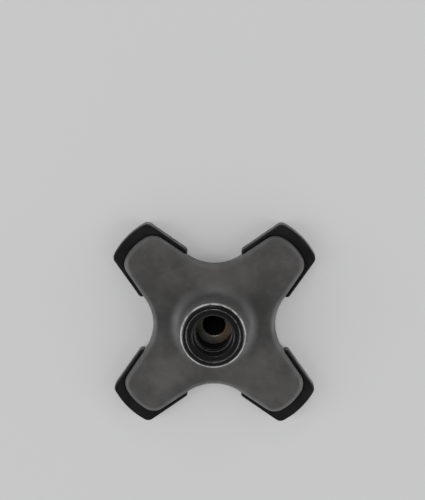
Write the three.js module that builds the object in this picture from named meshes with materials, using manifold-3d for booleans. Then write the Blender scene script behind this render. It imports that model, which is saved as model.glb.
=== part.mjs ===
// Four-legged rubber tip for a walking cane, in millimetres, +Z up.
// The tip stands on Z = 0, and the cane's shaft comes down into the socket along +Z.
import * as THREE from 'three';
import { mergeVertices } from 'three/addons/utils/BufferGeometryUtils.js';
import Module from 'manifold-3d';

const wasm = await Module();
wasm.setup();

// Driving dimensions
const TOTAL_HEIGHT = 38;
const SHAFT_DIAMETER = 19.05;
const GAP = 0.3; // between pieces that touch
const CUT_MARGIN = 1; // how far a cutting solid reaches past what it cuts

// Arms: four of them, on the diagonals
const ARM_COUNT = 4;
const FIRST_ARM_ANGLE = Math.PI / 4;
const ARM_REACH = 57; // from the socket's axis to the line of an arm's end corners
const ARM_END_HALF_WIDTH = 11.9;
const ARM_END_SLANT = THREE.MathUtils.degToRad(14); // an arm's end is bowed: its halves slant back
const ARM_END_RADIUS = 26; // of the round between them
const ARM_TAPER = THREE.MathUtils.degToRad(11); // on each side
const ARM_CORNER_RADIUS = 8;
const NOTCH_RADIUS = 24; // of the hollow curve between two arms
const ARM_TOP = 13;
const ARM_EDGE_ROUND = 3;
const ARM_BOTTOM = 4.7;
const ARCH_TOP = 5.8; // the underside is highest under the socket
const ARCH_RADIUS = 34;

// Collar and socket
const COLLAR_RADIUS = 17;
const COLLAR_DRAFT = 0.3; // the collar is this much wider at its foot
const COLLAR_FILLET = 7;
const LIP_ROUND = 2;
const LIP_INNER_RADIUS = 13.9;
const LIP_STEP = 0.5;
const MOUTH_RADIUS = 10.7;
const MOUTH_DEPTH = 2;
const SOCKET_RADIUS = 10.1;
const GRIP_RING_COUNT = 5;
const GRIP_RING_PITCH = 4.4;
const GRIP_RING_LENGTH = 2.2;
const FIRST_GRIP_RING = 13.8; // height of the lowest ring's middle
const RELIEF_DEPTH = 1; // of the recess under the washer's hole

// Washer
const WASHER_RADIUS = 11;
const WASHER_HOLE_RADIUS = 5.8;
const WASHER_THICKNESS = 1.6;
const WASHER_BOTTOM = 9.3;
const WASHER_EDGE_ROUND = 0.3;
const WASHER_SEAT_RADIUS = 9.3; // flat for the shaft's end up to here
const WASHER_RIM_DROP = 0.1; // and sloping down outside it

// Foot pads
const PAD_REACH = 63; // to the line of a pad's end corners
const PAD_INNER_END = 36.5;
const PAD_END_HALF_WIDTH = 13.3;
const PAD_END_SLANT = THREE.MathUtils.degToRad(13); // a pad's end is bowed too
const PAD_END_RADIUS = 40;
const PAD_TAPER = THREE.MathUtils.degToRad(10);
const PAD_OUTER_CORNER = 4;
const PAD_INNER_CORNER = 2;
const PAD_HEIGHT = 9;
const PAD_CHAMFER = 1;
const PAD_FLOOR = ARM_BOTTOM - GAP;
const TREAD_GROOVE_COUNT = 4;
const TREAD_GROOVE_PITCH = 5;
const TREAD_GROOVE_WIDTH = 1.6;
const TREAD_GROOVE_DEPTH = 1.2;

// Fineness of curves
const ROUND_SEGMENTS = 48;
const ARC_DIVISIONS = 4;
const EDGE_SEGMENTS = 3;
const FILLET_SEGMENTS = 6;
const LIP_SEGMENTS = 4;
const ARCH_SEGMENTS = 6;
const MERGE_TOLERANCE = 1e-4;

const rubber = new THREE.MeshStandardMaterial({ color: 0x3a3938, roughness: 0.6, metalness: 0 });
const padRubber = new THREE.MeshStandardMaterial({ color: 0x191816, roughness: 0.7, metalness: 0 });
const steel = new THREE.MeshStandardMaterial({ color: 0x8d8b7c, roughness: 0.45, metalness: 0.9 });

// A closed geometry as a solid that can be joined and cut
function toSolid(geometry) {
  const bare = geometry.clone();
  bare.deleteAttribute('normal');
  bare.deleteAttribute('uv');
  const merged = mergeVertices(bare, MERGE_TOLERANCE);
  const index = merged.index.array;
  const corners = [];
  for (let i = 0; i < index.length; i += 3) {
    const [a, b, c] = index.slice(i, i + 3);
    if (a !== b && b !== c && c !== a) corners.push(a, b, c);
  }
  return new wasm.Manifold(new wasm.Mesh({
    numProp: 3,
    vertProperties: new Float32Array(merged.attributes.position.array),
    triVerts: new Uint32Array(corners),
  }));
}

function toMesh(name, solid, material) {
  const { vertProperties, triVerts } = solid.getMesh();
  const geometry = new THREE.BufferGeometry();
  geometry.setAttribute('position', new THREE.BufferAttribute(vertProperties, 3));
  geometry.setIndex(new THREE.BufferAttribute(triVerts, 1));
  geometry.computeVertexNormals();
  const mesh = new THREE.Mesh(geometry, material);
  mesh.name = name;
  return mesh;
}

// A solid of revolution about Z from [radius, height] points
function turned(profile) {
  const points = profile.map(([radius, height]) => new THREE.Vector2(radius, height));
  const geometry = new THREE.LatheGeometry(points, ROUND_SEGMENTS);
  return toSolid(geometry.rotateX(Math.PI / 2));
}

// Points of a round stretch of a profile
function arcPoints(radius, height, size, fromAngle, toAngle, segments) {
  return Array.from({ length: segments + 1 }, (_, i) => {
    const angle = THREE.MathUtils.lerp(fromAngle, toAngle, i / segments);
    return [radius + size * Math.cos(angle), height + size * Math.sin(angle)];
  });
}

// An outline from [x, y, radius] corners, each rounded to its own radius
function roundedShape(corners) {
  const shape = new THREE.Shape();
  corners.forEach(([x, y, radius], i) => {
    const here = new THREE.Vector2(x, y);
    const toLast = new THREE.Vector2(...corners.at(i - 1)).sub(here).normalize();
    const toNext = new THREE.Vector2(...corners[(i + 1) % corners.length]).sub(here).normalize();
    const halfAngle = Math.acos(toLast.dot(toNext)) / 2;
    const inward = toLast.clone().add(toNext).normalize();
    const centre = here.clone().addScaledVector(inward, radius / Math.sin(halfAngle));
    const tangent = radius / Math.tan(halfAngle);
    const start = here.clone().addScaledVector(toLast, tangent).sub(centre);
    const end = here.clone().addScaledVector(toNext, tangent).sub(centre);
    const hollow = toLast.cross(toNext) > 0;
    shape.absarc(centre.x, centre.y, radius, start.angle(), end.angle(), hollow);
  });
  shape.closePath();
  return shape;
}

// A plate of an outline between two heights, with rounded or chamfered edges
function plate(shape, bottom, top, edge, edgeSegments) {
  const geometry = new THREE.ExtrudeGeometry(shape, {
    depth: top - bottom - 2 * edge,
    curveSegments: ARC_DIVISIONS,
    bevelEnabled: edge > 0,
    bevelThickness: edge,
    bevelSize: edge,
    bevelOffset: -edge,
    bevelSegments: edgeSegments,
  });
  return toSolid(geometry.translate(0, 0, bottom + edge));
}

// The corner where two lines meet, each from its normal's angle and its distance from the origin
function meeting([angle1, distance1], [angle2, distance2]) {
  const spread = Math.sin(angle2 - angle1);
  return [
    (distance1 * Math.sin(angle2) - distance2 * Math.sin(angle1)) / spread,
    (distance2 * Math.cos(angle1) - distance1 * Math.cos(angle2)) / spread,
  ];
}

// The outline of the four arms, grown outwards all round
function armsOutline(grow) {
  const side = ARM_REACH * Math.sin(ARM_TAPER) + ARM_END_HALF_WIDTH * Math.cos(ARM_TAPER) + grow;
  const end = ARM_REACH * Math.cos(ARM_END_SLANT) + ARM_END_HALF_WIDTH * Math.sin(ARM_END_SLANT) + grow;
  const sideTurn = Math.PI / 2 - ARM_TAPER;
  const armStep = (2 * Math.PI) / ARM_COUNT;
  const corners = [];
  for (let arm = 0; arm < ARM_COUNT; arm += 1) {
    const angle = FIRST_ARM_ANGLE + arm * armStep;
    const rightSide = [angle - sideTurn, side];
    const rightEnd = [angle - ARM_END_SLANT, end];
    const leftEnd = [angle + ARM_END_SLANT, end];
    const leftSide = [angle + sideTurn, side];
    const nextSide = [angle + armStep - sideTurn, side];
    corners.push([...meeting(rightSide, rightEnd), ARM_CORNER_RADIUS + grow]);
    corners.push([...meeting(rightEnd, leftEnd), ARM_END_RADIUS + grow]);
    corners.push([...meeting(leftEnd, leftSide), ARM_CORNER_RADIUS + grow]);
    corners.push([...meeting(leftSide, nextSide), NOTCH_RADIUS - grow]);
  }
  return roundedShape(corners);
}

// The collar and its fillet, as a solid that reaches down into the arms
function collar() {
  const footRadius = COLLAR_RADIUS + COLLAR_DRAFT;
  const filletRadius = footRadius + COLLAR_FILLET;
  const filletHeight = ARM_TOP + COLLAR_FILLET;
  const lipRadius = COLLAR_RADIUS - LIP_ROUND;
  const lipHeight = TOTAL_HEIGHT - LIP_ROUND;
  return turned([
    [0, ARCH_TOP],
    [filletRadius, ARCH_TOP],
    ...arcPoints(filletRadius, filletHeight, COLLAR_FILLET, -Math.PI / 2, -Math.PI, FILLET_SEGMENTS),
    ...arcPoints(lipRadius, lipHeight, LIP_ROUND, 0, Math.PI / 2, LIP_SEGMENTS),
    [LIP_INNER_RADIUS, TOTAL_HEIGHT],
    [LIP_INNER_RADIUS - LIP_STEP, TOTAL_HEIGHT - LIP_STEP],
    [0, TOTAL_HEIGHT - LIP_STEP],
  ]);
}

// Everything cut out for the shaft: recess, washer groove, ringed socket and mouth
function socketCut() {
  const washerTop = WASHER_BOTTOM + WASHER_THICKNESS;
  const ringProfile = [];
  for (let ring = 0; ring < GRIP_RING_COUNT; ring += 1) {
    const middle = FIRST_GRIP_RING + ring * GRIP_RING_PITCH;
    ringProfile.push([SOCKET_RADIUS, middle - GRIP_RING_LENGTH / 2]);
    ringProfile.push([SHAFT_DIAMETER / 2, middle]);
    ringProfile.push([SOCKET_RADIUS, middle + GRIP_RING_LENGTH / 2]);
  }
  const mouthTop = TOTAL_HEIGHT - LIP_STEP;
  return turned([
    [0, WASHER_BOTTOM - GAP - RELIEF_DEPTH],
    [WASHER_HOLE_RADIUS, WASHER_BOTTOM - GAP - RELIEF_DEPTH],
    [WASHER_HOLE_RADIUS, WASHER_BOTTOM - GAP],
    [WASHER_RADIUS + GAP, WASHER_BOTTOM - GAP],
    [WASHER_RADIUS + GAP, washerTop + GAP],
    [SOCKET_RADIUS, washerTop + GAP],
    ...ringProfile,
    [SOCKET_RADIUS, mouthTop - MOUTH_DEPTH],
    [MOUTH_RADIUS, mouthTop],
    [MOUTH_RADIUS, TOTAL_HEIGHT + CUT_MARGIN],
    [0, TOTAL_HEIGHT + CUT_MARGIN],
  ]);
}

// The space under the arms, arched in the middle
function undersideCut() {
  const bottom = -CUT_MARGIN;
  const outside = PAD_REACH + CUT_MARGIN;
  const rise = ARCH_TOP - ARM_BOTTOM;
  const bend = (ARCH_RADIUS ** 2 + rise ** 2) / (2 * rise);
  const sweep = Math.asin(ARCH_RADIUS / bend);
  const middle = ARCH_TOP - bend;
  const arch = arcPoints(0, middle, bend, Math.PI / 2 - sweep, Math.PI / 2, ARCH_SEGMENTS);
  arch[arch.length - 1] = [0, ARCH_TOP];
  return turned([[0, bottom], [outside, bottom], [outside, ARM_BOTTOM], ...arch]);
}

function tipBody() {
  const arms = plate(armsOutline(0), ARM_BOTTOM - ARM_EDGE_ROUND, ARM_TOP, ARM_EDGE_ROUND, EDGE_SEGMENTS);
  return arms.add(collar()).subtract(undersideCut()).subtract(socketCut());
}

function washer() {
  const low = WASHER_BOTTOM;
  const high = WASHER_BOTTOM + WASHER_THICKNESS;
  const round = WASHER_EDGE_ROUND;
  const ring = [
    [WASHER_HOLE_RADIUS, low],
    [WASHER_RADIUS - round, low],
    [WASHER_RADIUS, low + round],
    [WASHER_RADIUS, high - round - WASHER_RIM_DROP],
    [WASHER_RADIUS - round, high - WASHER_RIM_DROP],
    [WASHER_SEAT_RADIUS, high],
    [WASHER_HOLE_RADIUS + round, high],
    [WASHER_HOLE_RADIUS, high - round],
    [WASHER_HOLE_RADIUS, low],
  ];
  return turned(ring);
}

// A pad on the +X axis, before it is turned to its arm
function padBlock() {
  const innerHalfWidth = PAD_END_HALF_WIDTH + (PAD_REACH - PAD_INNER_END) * Math.tan(PAD_TAPER);
  const outline = roundedShape([
    [PAD_REACH, -PAD_END_HALF_WIDTH, PAD_OUTER_CORNER],
    [PAD_REACH + PAD_END_HALF_WIDTH * Math.tan(PAD_END_SLANT), 0, PAD_END_RADIUS],
    [PAD_REACH, PAD_END_HALF_WIDTH, PAD_OUTER_CORNER],
    [PAD_INNER_END, innerHalfWidth, PAD_INNER_CORNER],
    [PAD_INNER_END, -innerHalfWidth, PAD_INNER_CORNER],
  ]);
  let block = plate(outline, 0, PAD_HEIGHT, PAD_CHAMFER, 1);
  const groove = new THREE.BoxGeometry(TREAD_GROOVE_WIDTH, 4 * innerHalfWidth, 2 * TREAD_GROOVE_DEPTH);
  const middle = (PAD_REACH + PAD_INNER_END) / 2;
  for (let i = 0; i < TREAD_GROOVE_COUNT; i += 1) {
    const x = middle + (i - (TREAD_GROOVE_COUNT - 1) / 2) * TREAD_GROOVE_PITCH;
    block = block.subtract(toSolid(groove.clone().translate(x, 0, 0)));
  }
  return block;
}

// The arm's end stands in the pad, which is left as a floor and a rim round it
function footPad(angle) {
  const armSpace = plate(armsOutline(GAP), PAD_FLOOR, TOTAL_HEIGHT, 0, 1);
  return padBlock().rotate([0, 0, THREE.MathUtils.radToDeg(angle)]).subtract(armSpace);
}

const tip = new THREE.Group();
tip.add(toMesh('tip_body', tipBody(), rubber));
tip.add(toMesh('steel_washer', washer(), steel));
const padNames = ['rear_right', 'rear_left', 'front_left', 'front_right'];
padNames.forEach((place, i) => {
  const angle = FIRST_ARM_ANGLE + (i * 2 * Math.PI) / ARM_COUNT;
  tip.add(toMesh(`foot_pad_${place}`, footPad(angle), padRubber));
});

export default tip;
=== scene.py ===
"""Four-legged rubber tip for a walking cane: moulded body, four foot pads and a steel washer.

Lengths are in millimetres until a mesh is made, which turns them into metres.
"""

import math

import bpy
import numpy as np
from mathutils import Matrix, Vector


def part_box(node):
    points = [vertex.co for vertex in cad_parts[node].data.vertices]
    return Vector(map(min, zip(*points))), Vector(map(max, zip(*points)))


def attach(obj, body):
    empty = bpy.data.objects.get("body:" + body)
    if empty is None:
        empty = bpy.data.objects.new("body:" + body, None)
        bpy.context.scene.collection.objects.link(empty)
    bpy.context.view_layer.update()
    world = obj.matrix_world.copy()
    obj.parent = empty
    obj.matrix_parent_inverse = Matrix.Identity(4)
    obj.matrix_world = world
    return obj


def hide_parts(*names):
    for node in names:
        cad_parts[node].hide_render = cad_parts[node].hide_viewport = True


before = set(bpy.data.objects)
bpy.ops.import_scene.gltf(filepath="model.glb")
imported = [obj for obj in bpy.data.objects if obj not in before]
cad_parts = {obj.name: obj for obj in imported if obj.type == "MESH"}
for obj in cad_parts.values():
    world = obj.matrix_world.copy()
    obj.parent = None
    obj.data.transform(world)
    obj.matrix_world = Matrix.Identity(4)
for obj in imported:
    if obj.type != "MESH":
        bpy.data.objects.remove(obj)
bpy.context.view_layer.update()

MM = 0.001
BODY = "root"


def box_mm(node):
    """A CAD node's lowest and highest corners, in millimetres."""
    low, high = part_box(node)
    return np.array(low) / MM, np.array(high) / MM


body_low, body_high = box_mm("tip_body")
washer_low, washer_high = box_mm("steel_washer")
pad_low, pad_high = box_mm("foot_pad_rear_right")

# Arms
ARM_COUNT = 4
FIRST_ARM_ANGLE = math.pi / 4
ARM_REACH = 57.0
ARM_END_HALF_WIDTH = 11.9
ARM_END_SLANT = math.radians(14)
ARM_END_RADIUS = 26.0
ARM_TAPER = math.radians(11)
ARM_CORNER_RADIUS = 8.0
NOTCH_RADIUS = 24.0
ARM_TOP = 13.0
ARM_EDGE_ROUND = 3.0
ARM_BOTTOM = body_low[2]
ARCH_RISE = 1.1
ARCH_RADIUS = 34.0
LOWER_EDGE_ROUND = 0.6
HUB_RADIUS = 22.0  # the underside's rings are round up to here, and then turn into the outline
GATE_MARK_RADIUS = 3.1
GATE_MARK_DEPTH = 0.35
HUB_RING = (17.9, 18.7)  # a low ring on the underside: inner and outer radius
HUB_RING_RISE = 0.3
UNDERSIDE_RADII = (1.5, 3.0, 3.2, 3.5, 6, 9, 12, 15, 17.6, 18.0, 18.6, 19.0, HUB_RADIUS)
PARTING_HEIGHT = 7.2
PARTING_RIDGE = 0.14
PARTING_PROFILE = ((-0.3, 0), (-0.1, 1), (0.1, 1), (0.3, 0))  # height, and share of the ridge

# Collar and socket
TOTAL_HEIGHT = body_high[2]
COLLAR_RADIUS = 17.0
COLLAR_DRAFT = 0.3
COLLAR_FILLET = 7.0
LIP_ROUND = 2.0
LIP_INNER_RADIUS = 13.9
LIP_STEP = 0.5
LIP_EDGE_INSIDE = 16.3  # the painted highlight line round the lip's outer edge
LIP_EDGE_OUTSIDE = 16.85
# The thin bead inside the lip: radius beyond LIP_INNER_RADIUS, and drop from the top
LIP_BEAD = (
    (0.33, 0.08), (0.25, 0.12), (0.17, 0.05), (0.08, 0.0), (-0.05, 0.0),
    (-0.15, 0.08), (-0.22, 0.24), (-0.3, 0.42), (-0.45, LIP_STEP),
)
MOUTH_RADIUS = 10.7
MOUTH_EDGE = ((12.4, 0), (11.5, 0), (11.05, 0.03), (MOUTH_RADIUS, 0.25))  # radius, and drop
MOUTH_DEPTH = 2.0
SOCKET_RADIUS = 10.1
SOCKET_EDGE = 0.05
SOCKET_EDGE_HEIGHT = 0.2
CREST_RADIUS = 19.05 / 2
GRIP_RING_COUNT = 5
GRIP_RING_PITCH = 4.4
GRIP_RING_LENGTH = 2.2
FIRST_GRIP_RING = 13.8
RELIEF_DEPTH = 1.0
RELIEF_INNER_RADIUS = 1.0
SNUG = 0.08  # between the washer or a pad and the body

# Washer
WASHER_RADIUS = (washer_high[0] - washer_low[0]) / 2
WASHER_HOLE_RADIUS = 5.8
WASHER_BOTTOM = washer_low[2]
WASHER_TOP = washer_high[2]
WASHER_EDGE = 0.3
WASHER_RIM_DROP = 0.1
WASHER_SEAT_RADIUS = 9.3
WASHER_HOLE_ROUND = 0.5
WASHER_BURR = 0.15

# Pads
PAD_REACH = 63.0
PAD_INNER_END = 36.5
PAD_END_HALF_WIDTH = 13.3
PAD_END_SLANT = math.radians(13)
PAD_END_RADIUS = 40.0
PAD_TAPER = math.radians(10)
PAD_OUTER_CORNER = 4.0
PAD_INNER_CORNER = 2.0
PAD_HEIGHT = pad_high[2]
PAD_EDGE = 0.9
TREAD_GROOVE_COUNT = 4
TREAD_GROOVE_PITCH = 5.0
TREAD_GROOVE_WIDTH = 1.6
TREAD_GROOVE_DEPTH = 1.2
PAD_VOXEL = 0.3
PAD_SMOOTHING = 0.5
PAD_SMOOTHING_STEPS = 3

# Fineness of the meshes
OUTLINE_POINTS = 576
PAD_OUTLINE_POINTS = 320
WASHER_POINTS = 128
ARC_STEP = math.radians(1.5)
SHARP_ANGLE = math.radians(35)

# Colours
BODY_DARK = (0.0445, 0.0425, 0.0405)
BODY_LIGHT = (0.0695, 0.0665, 0.0635)
BODY_BLOOM = (0.131, 0.126, 0.121)
LIP_BLACK = (0.008, 0.0077, 0.0074)
# The rubber's black, made darker still as painted shade in the socket
SOCKET_BLACK_AND_SHADE = (0.0095, 0.009, 0.0088)
# Painted highlight on the grip rings' crests
PAINTED_CREST_HIGHLIGHT = (0.11, 0.108, 0.115)
# Painted highlight line round the lip's outer edge, in patches
PAINTED_EDGE_HIGHLIGHT = (0.44, 0.433, 0.415)
# Fainter painted highlight on the lip's inner bead, in patches
PAINTED_BEAD_HIGHLIGHT = (0.11, 0.108, 0.103)
PAD_DARK = (0.005, 0.0046, 0.0046)
PAD_LIGHT = (0.0082, 0.0076, 0.0076)
PAD_BLOOM = (0.026, 0.025, 0.024)
STEEL = (0.50, 0.50, 0.42)
TARNISH = (0.56, 0.39, 0.28)
DARK_SPOTS = (0.16, 0.13, 0.10)
FLOOR_DARK = (0.83, 0.825, 0.82)
FLOOR_LIGHT = (0.86, 0.855, 0.85)
SKY = (0.94, 0.96, 1.0, 1)


# Outlines and profiles


def arc(centre, radius, start, end, steps):
    """Points along an arc, in the plane of an outline or a profile."""
    angles = np.linspace(start, end, steps + 1)
    return [(centre[0] + radius * math.cos(a), centre[1] + radius * math.sin(a)) for a in angles]


def rounded_outline(corners):
    """A closed outline from (x, y, radius) corners, anticlockwise, each rounded to its radius."""
    points = []
    for i, (x, y, radius) in enumerate(corners):
        here = Vector((x, y))
        to_last = (Vector(corners[i - 1][:2]) - here).normalized()
        to_next = (Vector(corners[(i + 1) % len(corners)][:2]) - here).normalized()
        half_angle = math.acos(to_last.dot(to_next)) / 2
        centre = here + (to_last + to_next).normalized() * (radius / math.sin(half_angle))
        tangent = radius / math.tan(half_angle)
        start = here + to_last * tangent - centre
        end = here + to_next * tangent - centre
        first = math.atan2(start.y, start.x)
        turn = (math.atan2(end.y, end.x) - first + math.pi) % (2 * math.pi) - math.pi
        steps = max(2, round(abs(turn) / ARC_STEP))
        points += arc(centre, radius, first, first + turn, steps)
    return np.array(points)


def meeting(first, second):
    """The corner where two lines meet, each from its normal's angle and its distance."""
    (angle1, distance1), (angle2, distance2) = first, second
    spread = math.sin(angle2 - angle1)
    x = (distance1 * math.sin(angle2) - distance2 * math.sin(angle1)) / spread
    y = (distance2 * math.cos(angle1) - distance1 * math.cos(angle2)) / spread
    return x, y


def arms_outline(grow=0.0):
    """The outline of the four arms, grown outwards all round."""
    side = ARM_REACH * math.sin(ARM_TAPER) + ARM_END_HALF_WIDTH * math.cos(ARM_TAPER) + grow
    end = ARM_REACH * math.cos(ARM_END_SLANT) + ARM_END_HALF_WIDTH * math.sin(ARM_END_SLANT) + grow
    side_turn = math.pi / 2 - ARM_TAPER
    arm_step = 2 * math.pi / ARM_COUNT
    corners = []
    for arm in range(ARM_COUNT):
        angle = FIRST_ARM_ANGLE + arm * arm_step
        right_side = (angle - side_turn, side)
        right_end = (angle - ARM_END_SLANT, end)
        left_end = (angle + ARM_END_SLANT, end)
        left_side = (angle + side_turn, side)
        next_side = (angle + arm_step - side_turn, side)
        corners.append((*meeting(right_side, right_end), ARM_CORNER_RADIUS + grow))
        corners.append((*meeting(right_end, left_end), ARM_END_RADIUS + grow))
        corners.append((*meeting(left_end, left_side), ARM_CORNER_RADIUS + grow))
        corners.append((*meeting(left_side, next_side), NOTCH_RADIUS - grow))
    return rounded_outline(corners)


def spaced_evenly(points, count):
    """A closed outline as evenly spaced points from the +X axis on, and its outward normals."""
    start = int(np.argmin(np.abs(np.arctan2(points[:, 1], points[:, 0]))))
    points = np.roll(points, -start, axis=0)
    closed = np.vstack([points, points[:1]])
    steps = np.linalg.norm(np.diff(closed, axis=0), axis=1)
    lengths = np.concatenate([[0], np.cumsum(steps)])
    targets = np.arange(count) * lengths[-1] / count
    even = np.column_stack([np.interp(targets, lengths, closed[:, i]) for i in range(2)])
    tangents = np.roll(even, -1, axis=0) - np.roll(even, 1, axis=0)
    tangents /= np.linalg.norm(tangents, axis=1)[:, None]
    normals = np.column_stack([tangents[:, 1], -tangents[:, 0]])
    return even, normals


# Meshes


def to_object(name, vertices, faces):
    """A mesh object in metres, smooth but for its sharp edges."""
    mesh = bpy.data.meshes.new(name)
    mesh.from_pydata([tuple(v) for v in np.array(vertices) * MM], [], faces)
    mesh.validate()
    mesh.shade_smooth()
    mesh.set_sharp_from_angle(angle=SHARP_ANGLE)
    piece = bpy.data.objects.new(name, mesh)
    bpy.context.scene.collection.objects.link(piece)
    return piece


def skin(rings, closed=False):
    """Vertices and faces of rings joined in turn, with a pole at each end or the last to the first."""
    count = len(rings[0])
    vertices = np.vstack(rings)
    faces = []
    pairs = len(rings) if closed else len(rings) - 1
    for r in range(pairs):
        low = r * count
        high = ((r + 1) % len(rings)) * count
        for k in range(count):
            n = (k + 1) % count
            faces.append((low + k, low + n, high + n, high + k))
    if not closed:
        last = (len(rings) - 1) * count
        vertices = np.vstack([vertices, rings[0].mean(axis=0), rings[-1].mean(axis=0)])
        for k in range(count):
            n = (k + 1) % count
            faces.append((len(vertices) - 2, n, k))
            faces.append((len(vertices) - 1, last + k, last + n))
    return vertices, faces


def circle_ring(radius, height, count):
    angles = np.arange(count) * 2 * math.pi / count
    return np.column_stack(
        [radius * np.cos(angles), radius * np.sin(angles), np.full(count, height)]
    )


class BodyRings:
    """The rings of the moulded body, from the middle of its underside to the bottom of its socket."""

    def __init__(self):
        self.outline, self.normals = spaced_evenly(arms_outline(), OUTLINE_POINTS)
        self.rings = []

    def round_ring(self, radius, height):
        self.rings.append(circle_ring(radius, height, OUTLINE_POINTS))

    def edge_ring(self, inset, height):
        flat = self.outline - self.normals * inset
        self.rings.append(np.column_stack([flat, np.full(OUTLINE_POINTS, height)]))

    def between(self, radius, inset, share):
        """The flat points a share of the way from a circle to the inset outline."""
        round_part = circle_ring(radius, 0, OUTLINE_POINTS)[:, :2]
        edge_part = self.outline - self.normals * inset
        return round_part * (1 - share) + edge_part * share

    def underside(self):
        for radius in UNDERSIDE_RADII:
            self.round_ring(radius, arch_height(radius) + underside_relief(radius))
        for share in np.linspace(0, 1, 14)[1:]:
            flat = self.between(HUB_RADIUS, LOWER_EDGE_ROUND, share)
            heights = arch_height(np.linalg.norm(flat, axis=1))
            self.rings.append(np.column_stack([flat, heights]))

    def sides(self):
        centre = (LOWER_EDGE_ROUND, ARM_BOTTOM + LOWER_EDGE_ROUND)
        for inset, height in arc(centre, LOWER_EDGE_ROUND, 1.5 * math.pi, math.pi, 4)[1:]:
            self.edge_ring(inset, height)
        for offset, stand_out in PARTING_PROFILE:
            self.edge_ring(-PARTING_RIDGE * stand_out, PARTING_HEIGHT + offset)
        centre = (ARM_EDGE_ROUND, ARM_TOP - ARM_EDGE_ROUND)
        for inset, height in arc(centre, ARM_EDGE_ROUND, math.pi, 0.5 * math.pi, 12):
            self.edge_ring(inset, height)

    def top(self):
        fillet_radius = COLLAR_RADIUS + COLLAR_DRAFT + COLLAR_FILLET
        for share in np.linspace(1, 0, 16)[1:-1]:
            flat = self.between(fillet_radius, ARM_EDGE_ROUND, share)
            self.rings.append(np.column_stack([flat, np.full(OUTLINE_POINTS, ARM_TOP)]))
        centre = (fillet_radius, ARM_TOP + COLLAR_FILLET)
        for radius, height in arc(centre, COLLAR_FILLET, 1.5 * math.pi, math.pi, 16):
            self.round_ring(radius, height)

    def collar(self):
        foot = ARM_TOP + COLLAR_FILLET
        for share in (0.25, 0.5, 0.75):
            height = foot + share * (TOTAL_HEIGHT - LIP_ROUND - foot)
            self.round_ring(COLLAR_RADIUS + COLLAR_DRAFT * (1 - share), height)
        centre = (COLLAR_RADIUS - LIP_ROUND, TOTAL_HEIGHT - LIP_ROUND)
        for radius, height in arc(centre, LIP_ROUND, 0, 0.5 * math.pi, 10):
            self.round_ring(radius, height)
        for offset, drop in LIP_BEAD:
            self.round_ring(LIP_INNER_RADIUS + offset, TOTAL_HEIGHT - drop)
        face = TOTAL_HEIGHT - LIP_STEP
        for radius, drop in MOUTH_EDGE:
            self.round_ring(radius, face - drop)
        self.round_ring(SOCKET_RADIUS + SOCKET_EDGE, face - MOUTH_DEPTH + SOCKET_EDGE_HEIGHT)
        self.round_ring(SOCKET_RADIUS, face - MOUTH_DEPTH)

    def socket(self):
        ridge = SOCKET_RADIUS - CREST_RADIUS
        for ring in reversed(range(GRIP_RING_COUNT)):
            middle = FIRST_GRIP_RING + ring * GRIP_RING_PITCH
            for turn in np.linspace(1, -1, 11):
                swell = (1 + math.cos(turn * math.pi)) / 2
                self.round_ring(SOCKET_RADIUS - ridge * swell, middle + turn * GRIP_RING_LENGTH / 2)
        washer_space = WASHER_RADIUS + SNUG
        seat = WASHER_BOTTOM - SNUG
        self.round_ring(SOCKET_RADIUS, WASHER_TOP + SNUG)
        self.round_ring(washer_space, WASHER_TOP + SNUG)
        self.round_ring(washer_space, seat)
        self.round_ring(WASHER_HOLE_RADIUS, seat)
        self.round_ring(WASHER_HOLE_RADIUS, seat - RELIEF_DEPTH)
        self.round_ring(RELIEF_INNER_RADIUS, seat - RELIEF_DEPTH)


def arch_height(radius):
    """Height of the underside, which is highest in the middle."""
    share = np.clip(1 - (np.asarray(radius) / ARCH_RADIUS) ** 2, 0, 1)
    return ARM_BOTTOM + ARCH_RISE * share


def underside_relief(radius):
    """Height of the shallow gate mark in the middle and of the low ring round the hub."""
    if radius < GATE_MARK_RADIUS:
        return GATE_MARK_DEPTH
    return -HUB_RING_RISE if HUB_RING[0] < radius < HUB_RING[1] else 0.0


def make_body():
    body = BodyRings()
    body.underside()
    body.sides()
    body.top()
    body.collar()
    body.socket()
    return to_object("moulded_body", *skin(body.rings))


def make_washer():
    hole = WASHER_HOLE_RADIUS
    bottom = WASHER_BOTTOM
    top = WASHER_TOP
    edge = WASHER_EDGE
    middle = WASHER_RADIUS - edge
    inner = WASHER_HOLE_ROUND
    profile = [(hole + WASHER_BURR, bottom), (middle, bottom)]
    profile += arc((middle, bottom + edge), edge, -math.pi / 2, 0, 3)[1:]
    profile += arc((middle, top - WASHER_RIM_DROP - edge), edge, 0, math.pi / 2, 3)
    profile += [(WASHER_SEAT_RADIUS, top), (8.0, top), (hole + 1.2, top)]
    profile += arc((hole + inner, top - inner), inner, math.pi / 2, math.pi, 5)
    profile += [(hole, bottom + WASHER_BURR)]
    rings = [circle_ring(radius, height, WASHER_POINTS) for radius, height in profile]
    return to_object("pressed_washer", *skin(rings, closed=True))


def prism(outline, bottom, top):
    """Vertices and faces of an outline between two heights."""
    count = len(outline)
    low = np.column_stack([outline, np.full(count, bottom)])
    high = np.column_stack([outline, np.full(count, top)])
    faces = [(k, (k + 1) % count, count + (k + 1) % count, count + k) for k in range(count)]
    faces += [tuple(reversed(range(count))), tuple(range(count, 2 * count))]
    return np.vstack([low, high]), faces


def turned_outline(outline, angle):
    turn = np.array([[math.cos(angle), -math.sin(angle)], [math.sin(angle), math.cos(angle)]])
    return outline @ turn.T


def pad_outline():
    inner = PAD_END_HALF_WIDTH + (PAD_REACH - PAD_INNER_END) * math.tan(PAD_TAPER)
    return rounded_outline([
        (PAD_REACH, -PAD_END_HALF_WIDTH, PAD_OUTER_CORNER),
        (PAD_REACH + PAD_END_HALF_WIDTH * math.tan(PAD_END_SLANT), 0, PAD_END_RADIUS),
        (PAD_REACH, PAD_END_HALF_WIDTH, PAD_OUTER_CORNER),
        (PAD_INNER_END, inner, PAD_INNER_CORNER),
        (PAD_INNER_END, -inner, PAD_INNER_CORNER),
    ])


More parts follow.
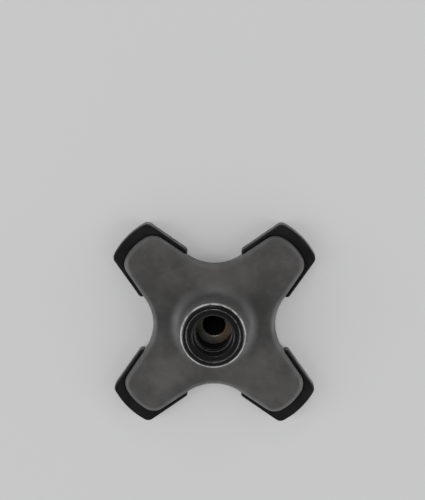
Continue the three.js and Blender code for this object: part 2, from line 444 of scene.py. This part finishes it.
def pad_block():
    """The pad before anything is cut from it, with rounded upper and lower edges."""
    centre = np.array([(PAD_REACH + PAD_INNER_END) / 2, 0])
    outline, normals = spaced_evenly(pad_outline() - centre, PAD_OUTLINE_POINTS)
    profile = arc((PAD_EDGE, PAD_EDGE), PAD_EDGE, 1.5 * math.pi, math.pi, 5)
    profile += arc((PAD_EDGE, PAD_HEIGHT - PAD_EDGE), PAD_EDGE, math.pi, 0.5 * math.pi, 5)
    rings = [
        np.column_stack([outline - normals * inset + centre, np.full(len(outline), height)])
        for inset, height in profile
    ]
    return skin(rings)


def cut(piece, cutters):
    for cutter in cutters:
        change = piece.modifiers.new("cut", "BOOLEAN")
        change.operation = "DIFFERENCE"
        change.solver = "EXACT"
        change.object = cutter


def pad_cutters():
    """The arm's space and the grooves of the sole, as objects that are cut from a pad."""
    arm_space = turned_outline(arms_outline(SNUG), -FIRST_ARM_ANGLE)
    cutters = [to_object("arm_space", *prism(arm_space, ARM_BOTTOM - SNUG, TOTAL_HEIGHT))]
    middle = (PAD_REACH + PAD_INNER_END) / 2
    half_width = 2 * PAD_END_HALF_WIDTH
    for i in range(TREAD_GROOVE_COUNT):
        x = middle + (i - (TREAD_GROOVE_COUNT - 1) / 2) * TREAD_GROOVE_PITCH
        left = x - TREAD_GROOVE_WIDTH / 2
        right = x + TREAD_GROOVE_WIDTH / 2
        groove = np.array(
            [(left, -half_width), (right, -half_width), (right, half_width), (left, half_width)]
        )
        cutters.append(to_object("groove", *prism(groove, -TREAD_GROOVE_DEPTH, TREAD_GROOVE_DEPTH)))
    return cutters


def pad_mesh():
    """One pad lying along +X, cut and then softened to a moulded surface."""
    draft = to_object("pad_draft", *pad_block())
    cutters = pad_cutters()
    cut(draft, cutters)
    remesh = draft.modifiers.new("remesh", "REMESH")
    remesh.mode = "VOXEL"
    remesh.voxel_size = PAD_VOXEL * MM
    remesh.use_smooth_shade = True
    soften = draft.modifiers.new("soften", "SMOOTH")
    soften.factor = PAD_SMOOTHING
    soften.iterations = PAD_SMOOTHING_STEPS
    bpy.context.view_layer.update()
    depsgraph = bpy.context.evaluated_depsgraph_get()
    mesh = bpy.data.meshes.new_from_object(draft.evaluated_get(depsgraph))
    for scrap in [draft, *cutters]:
        bpy.data.objects.remove(scrap)
    return mesh


def make_pads():
    source = pad_mesh()
    pads = {}
    for i, place in enumerate(("rear_right", "rear_left", "front_left", "front_right")):
        mesh = source.copy()
        mesh.transform(Matrix.Rotation(FIRST_ARM_ANGLE + i * 2 * math.pi / ARM_COUNT, 4, "Z"))
        pad = bpy.data.objects.new(f"shoe_{place}", mesh)
        bpy.context.scene.collection.objects.link(pad)
        pads[place] = pad
    return pads


# Materials


class Surface:
    """A node material that is built up from patterns in the object's own coordinates."""

    def __init__(self, name):
        self.material = bpy.data.materials.new(name)
        self.material.use_nodes = True
        self.nodes = self.material.node_tree.nodes
        self.links = self.material.node_tree.links
        self.shader = self.nodes["Principled BSDF"]
        self.place = self.nodes.new("ShaderNodeTexCoord").outputs["Object"]

    def link(self, source, target):
        self.links.new(source, target)

    def stretched(self, scale):
        mapping = self.nodes.new("ShaderNodeMapping")
        mapping.inputs["Scale"].default_value = scale
        self.link(self.place, mapping.inputs["Vector"])
        return mapping.outputs["Vector"]

    def noise(self, size_mm, detail=2.0, roughness=0.5, distortion=0.0, where=None):
        """Noise whose blobs are about that size."""
        node = self.nodes.new("ShaderNodeTexNoise")
        node.inputs["Scale"].default_value = 1 / (size_mm * MM)
        node.inputs["Detail"].default_value = detail
        node.inputs["Roughness"].default_value = roughness
        node.inputs["Distortion"].default_value = distortion
        self.link(where or self.place, node.inputs["Vector"])
        return node.outputs["Fac"]

    def ranged(self, value, low, high, to_low=0.0, to_high=1.0):
        """A value from one range brought smoothly to another, and held at its ends."""
        node = self.nodes.new("ShaderNodeMapRange")
        node.interpolation_type = "SMOOTHSTEP"
        node.inputs["From Min"].default_value = low
        node.inputs["From Max"].default_value = high
        node.inputs["To Min"].default_value = to_low
        node.inputs["To Max"].default_value = to_high
        self.link(value, node.inputs["Value"])
        return node.outputs["Result"]

    def combined(self, operation, first, second):
        """Two outputs, or an output and a number, put through one operation."""
        node = self.nodes.new("ShaderNodeMath")
        node.operation = operation
        self.link(first, node.inputs[0])
        if isinstance(second, float):
            node.inputs[1].default_value = second
        else:
            self.link(second, node.inputs[1])
        return node.outputs["Value"]

    def sum(self, first, second):
        return self.combined("ADD", first, second)

    def product(self, first, second):
        return self.combined("MULTIPLY", first, second)

    def mix(self, share, first, second):
        """One colour over another by a share. Each is a colour or an output."""
        node = self.nodes.new("ShaderNodeMix")
        node.data_type = "RGBA"
        self.link(share, node.inputs["Factor"])
        for value, socket in ((first, node.inputs["A"]), (second, node.inputs["B"])):
            if isinstance(value, tuple):
                socket.default_value = (*value, 1)
            else:
                self.link(value, socket)
        return node.outputs["Result"]

    def bump(self, height, depth_mm, strength, under=None):
        node = self.nodes.new("ShaderNodeBump")
        node.inputs["Distance"].default_value = depth_mm * MM
        node.inputs["Strength"].default_value = strength
        self.link(height, node.inputs["Height"])
        if under is not None:
            self.link(under, node.inputs["Normal"])
        return node.outputs["Normal"]

    def axis_distance(self):
        """Distance from the socket's axis."""
        node = self.nodes.new("ShaderNodeVectorMath")
        node.operation = "LENGTH"
        self.link(self.stretched((1, 1, 0)), node.inputs[0])
        return node.outputs["Value"]

    def part(self, axis):
        """One coordinate of the place on the surface."""
        node = self.nodes.new("ShaderNodeSeparateXYZ")
        self.link(self.place, node.inputs["Vector"])
        return node.outputs[axis]

    def above(self, value, limit_mm, blend_mm):
        """1 where a length is past a limit, with a soft edge."""
        return self.ranged(value, (limit_mm - blend_mm) * MM, (limit_mm + blend_mm) * MM)

    def below(self, value, limit_mm, blend_mm):
        return self.ranged(value, (limit_mm - blend_mm) * MM, (limit_mm + blend_mm) * MM, 1, 0)

    def band(self, value, low_mm, high_mm, blend_mm):
        """1 between two limits, with soft edges."""
        return self.product(
            self.above(value, low_mm, blend_mm), self.below(value, high_mm, blend_mm)
        )

    def worn_edges(self, low, high):
        """1 on edges that stand out, where rubbing shows first."""
        geometry = self.nodes.new("ShaderNodeNewGeometry")
        return self.ranged(geometry.outputs["Pointiness"], low, high)


def rubber(name, dark, light, bloom, roughness, shine):
    """Moulded rubber: fine grain, soft unevenness, a little pale bloom and lighter edges."""
    surface = Surface(name)
    surface.shader.inputs["Specular IOR Level"].default_value = shine
    patches = surface.noise(18, detail=5, roughness=0.6)
    cloud = surface.ranged(patches, 0.35, 0.7)
    colour = surface.mix(cloud, dark, light)
    specks = surface.ranged(surface.noise(0.9, detail=3), 0.66, 0.78, 0, 0.35)
    colour = surface.mix(specks, colour, bloom)
    edges = surface.product(surface.worn_edges(0.51, 0.56), 0.25)
    surface.colour = surface.mix(edges, colour, bloom)
    surface.link(surface.colour, surface.shader.inputs["Base Color"])
    uneven = surface.noise(7, detail=4)
    surface.roughness = surface.ranged(uneven, 0.3, 0.7, roughness - 0.06, roughness + 0.08)
    surface.link(surface.roughness, surface.shader.inputs["Roughness"])
    waves = surface.bump(surface.noise(9, detail=2), 0.05, 0.5)
    grain = surface.bump(surface.noise(0.4, detail=4, roughness=0.6), 0.04, 0.8, under=waves)
    surface.link(grain, surface.shader.inputs["Normal"])
    return surface


def body_rubber():
    """Charcoal rubber with a black lip face, black with painted shade in the socket, a painted highlight
    on the grip rings' crests, and painted highlights in patches round the lip's outer edge and on its
    inner bead.
    """
    surface = rubber(
        "body_rubber", BODY_DARK, BODY_LIGHT, BODY_BLOOM, roughness=0.48, shine=0.26
    )
    radius = surface.axis_distance()
    height = surface.part("Z")
    on_top = surface.above(height, TOTAL_HEIGHT - LIP_ROUND, 0.4)
    lip_face = surface.product(on_top, surface.below(radius, LIP_EDGE_INSIDE, 0.15))
    colour = surface.mix(lip_face, surface.colour, LIP_BLACK)
    rubbed_smooth = surface.ranged(lip_face, 0, 1, 1.0, 0.55)
    surface.link(
        surface.product(surface.roughness, rubbed_smooth), surface.shader.inputs["Roughness"]
    )
    # Painted shade: the socket is made darker than the rubber outside it
    in_socket = surface.product(
        surface.above(height, WASHER_BOTTOM - 2, 0.2),
        surface.below(radius, LIP_INNER_RADIUS, 0.15),
    )
    colour = surface.mix(in_socket, colour, SOCKET_BLACK_AND_SHADE)
    # Painted highlight: the grip rings' crests are made paler
    crest_highlights = surface.product(
        surface.above(height, WASHER_TOP + 0.5, 0.2),
        surface.below(radius, (CREST_RADIUS + SOCKET_RADIUS) / 2, 0.2),
    )
    colour = surface.mix(crest_highlights, colour, PAINTED_CREST_HIGHLIGHT)
    # Painted highlights in patches: a pale line round the lip's outer edge and a fainter one on the inner
    # bead
    patchy = surface.ranged(surface.noise(3.5, detail=6, roughness=0.7), 0.34, 0.64, 0.15, 1.0)
    painted_highlight_patches = surface.product(on_top, patchy)
    edge = surface.band(radius, LIP_EDGE_INSIDE, LIP_EDGE_OUTSIDE, 0.22)
    colour = surface.mix(surface.product(edge, painted_highlight_patches), colour, PAINTED_EDGE_HIGHLIGHT)
    bead = surface.band(radius, LIP_INNER_RADIUS - 0.15, LIP_INNER_RADIUS + 0.15, 0.08)
    colour = surface.mix(surface.product(bead, painted_highlight_patches), colour, PAINTED_BEAD_HIGHLIGHT)
    surface.link(colour, surface.shader.inputs["Base Color"])
    return surface.material


def washer_steel():
    """Plated steel, dulled, with brown tarnish in patches."""
    surface = Surface("washer_steel")
    patches = surface.noise(4.5, detail=6, roughness=0.65, distortion=0.6)
    reach = WASHER_RADIUS * MM
    to_right = surface.ranged(surface.part("X"), -reach, reach, -0.12, 0.16)
    tarnish = surface.ranged(surface.sum(patches, to_right), 0.48, 0.66)
    colour = surface.mix(tarnish, STEEL, TARNISH)
    spots = surface.ranged(surface.noise(0.8, detail=4), 0.58, 0.7, 0, 0.6)
    colour = surface.mix(spots, colour, DARK_SPOTS)
    surface.link(colour, surface.shader.inputs["Base Color"])
    surface.shader.inputs["Metallic"].default_value = 0.85
    surface.link(
        surface.ranged(tarnish, 0, 1, 0.34, 0.62), surface.shader.inputs["Roughness"]
    )
    scratches = surface.noise(0.5, detail=3, where=surface.stretched((1, 0.15, 1)))
    surface.link(surface.bump(scratches, 0.02, 0.5), surface.shader.inputs["Normal"])
    return surface.material


def pale_floor():
    surface = Surface("pale_floor")
    cloud = surface.noise(120, detail=3)
    surface.link(
        surface.mix(cloud, FLOOR_DARK, FLOOR_LIGHT), surface.shader.inputs["Base Color"]
    )
    surface.shader.inputs["Roughness"].default_value = 0.85
    return surface.material


# The scene


def finish_piece(piece, material, slot, *nodes):
    piece.data.materials.clear()
    piece.data.materials.append(material)
    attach(piece, BODY)
    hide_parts(*nodes)


def make_tip():
    pad_rubber = rubber(
        "pad_rubber", PAD_DARK, PAD_LIGHT, PAD_BLOOM, roughness=0.36, shine=0.2
    ).material
    finish_piece(make_body(), body_rubber(), "body_rubber", "tip_body")
    finish_piece(make_washer(), washer_steel(), "washer_steel", "steel_washer")
    for place, pad in make_pads().items():
        finish_piece(pad, pad_rubber, "pad_rubber", f"foot_pad_{place}")


def make_floor():
    bpy.ops.mesh.primitive_plane_add(size=60)
    floor = bpy.context.object
    floor.name = "floor"
    floor.data.materials.append(pale_floor())


def aim(thing, target, up=Vector((0, 1, 0))):
    """Turns a light or a camera to look at a point, with up as near as it can be to the picture's top."""
    back = (thing.location - Vector(target)).normalized()
    right = up.cross(back).normalized()
    above = back.cross(right)
    thing.rotation_euler = Matrix((right, above, back)).transposed().to_euler()


def area_light(name, place, target, size, power):
    light = bpy.data.lights.new(name, "AREA")
    light.shape = "RECTANGLE"
    light.size, light.size_y = size
    light.energy = power
    lamp = bpy.data.objects.new(name, light)
    bpy.context.scene.collection.objects.link(lamp)
    lamp.location = place
    aim(lamp, target)


def make_lights():
    centre = (0, 0, 0.02)
    area_light("above", (-0.15, 0.45, 1.3), centre, (0.3, 0.3), 1.7)
    area_light("behind", (0.1, 1.1, 0.6), centre, (0.3, 0.12), 1.5)
    area_light("left", (-1.1, -0.1, 0.7), centre, (1.4, 0.6), 10)
    area_light("right", (1.1, -0.2, 0.7), centre, (1.4, 0.6), 8)
    make_world()


def make_world():
    """A pale horizon under a darker ceiling, dimmer to the rear."""
    world = bpy.data.worlds.new("studio")
    world.use_nodes = True
    nodes = world.node_tree.nodes
    links = world.node_tree.links
    direction = nodes.new("ShaderNodeTexCoord")
    split = nodes.new("ShaderNodeSeparateXYZ")
    links.new(direction.outputs["Generated"], split.inputs["Vector"])
    strength = nodes.new("ShaderNodeMath")
    strength.operation = "MULTIPLY"
    # Along each axis: from and to where the strength changes, and from and to what
    changes = (("Z", 0.35, 0.75, 2.6, 0.08), ("Y", 0.1, 0.8, 1.0, 0.55))
    for i, (axis, *limits) in enumerate(changes):
        fade = nodes.new("ShaderNodeMapRange")
        fade.interpolation_type = "SMOOTHSTEP"
        for socket, limit in zip(("From Min", "From Max", "To Min", "To Max"), limits):
            fade.inputs[socket].default_value = limit
        links.new(split.outputs[axis], fade.inputs["Value"])
        links.new(fade.outputs["Result"], strength.inputs[i])
    background = nodes["Background"]
    background.inputs["Color"].default_value = SKY
    links.new(strength.outputs["Value"], background.inputs["Strength"])
    bpy.context.scene.world = world


def make_camera():
    """A long lens a metre above the point that the picture's middle shows, tilted off the vertical."""
    tilt = math.radians(10.33)
    lean = math.radians(1.2)  # to the right
    distance = 1.0
    target = Vector((-0.00109, 0.03797, 0))
    data = bpy.data.cameras.new("camera")
    data.sensor_fit = "HORIZONTAL"
    data.sensor_width = 36
    data.lens = 160.1
    camera = bpy.data.objects.new("camera", data)
    bpy.context.scene.collection.objects.link(camera)
    sight = Vector((math.sin(lean), math.sin(tilt) * math.cos(lean), math.cos(tilt) * math.cos(lean)))
    camera.location = target + distance * sight
    aim(camera, target)
    bpy.context.scene.camera = camera


make_camera()
make_tip()
make_floor()
make_lights()
